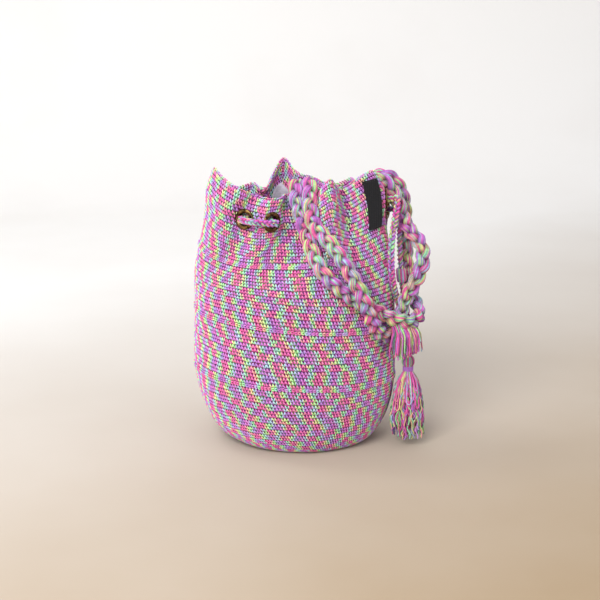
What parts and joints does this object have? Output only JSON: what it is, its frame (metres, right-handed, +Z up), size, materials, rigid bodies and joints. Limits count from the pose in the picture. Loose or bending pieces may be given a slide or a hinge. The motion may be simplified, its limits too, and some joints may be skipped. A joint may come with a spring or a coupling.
{
  "type": "potli bag",
  "caption": "Crocheted bucket bag with a gathered drawstring mouth, metal eyelets, a cotton lining, a braided strap looped at the hip and a yarn tassel.",
  "frame": {"origin": "under the middle of the belly, on the surface the bag stands on", "axes": "+Z up through the mouth, -Y towards the front, +X towards the side where the strap and the tassel hang"},
  "size_m": [0.2309, 0.1735, 0.2763],
  "materials": {
    "crochet_yarn": "matte multicolour crochet",
    "lining_cloth": "matte plain cotton",
    "label_tape": "matte woven tape",
    "aged_brass": "darkened satin",
    "braid_yarn": "matte multicolour braid",
    "fringe_yarn": "matte multicolour yarn",
    "binding_yarn": "matte wound yarn"
  },
  "bodies": {
    "root": {"bag_body": "crochet_yarn", "lining": "lining_cloth", "label": "label_tape", "grommet_1": "aged_brass", "grommet_2": "aged_brass", "grommet_3": "aged_brass", "grommet_4": "aged_brass", "grommet_5": "aged_brass", "grommet_6": "aged_brass", "grommet_7": "aged_brass", "grommet_8": "aged_brass", "washer_1": "aged_brass", "washer_2": "aged_brass", "washer_3": "aged_brass", "washer_4": "aged_brass", "washer_5": "aged_brass", "washer_6": "aged_brass", "washer_7": "aged_brass", "washer_8": "aged_brass", "drawstring": "braid_yarn", "drawstring_tail_front": "braid_yarn", "drawstring_tail_rear": "braid_yarn", "strap_wrap": "braid_yarn", "strap_loop": "braid_yarn", "tail_whipping": "binding_yarn", "strap_fringe": "fringe_yarn", "tassel": "fringe_yarn", "tassel_binding": "binding_yarn"}
  },
  "joints": []
}
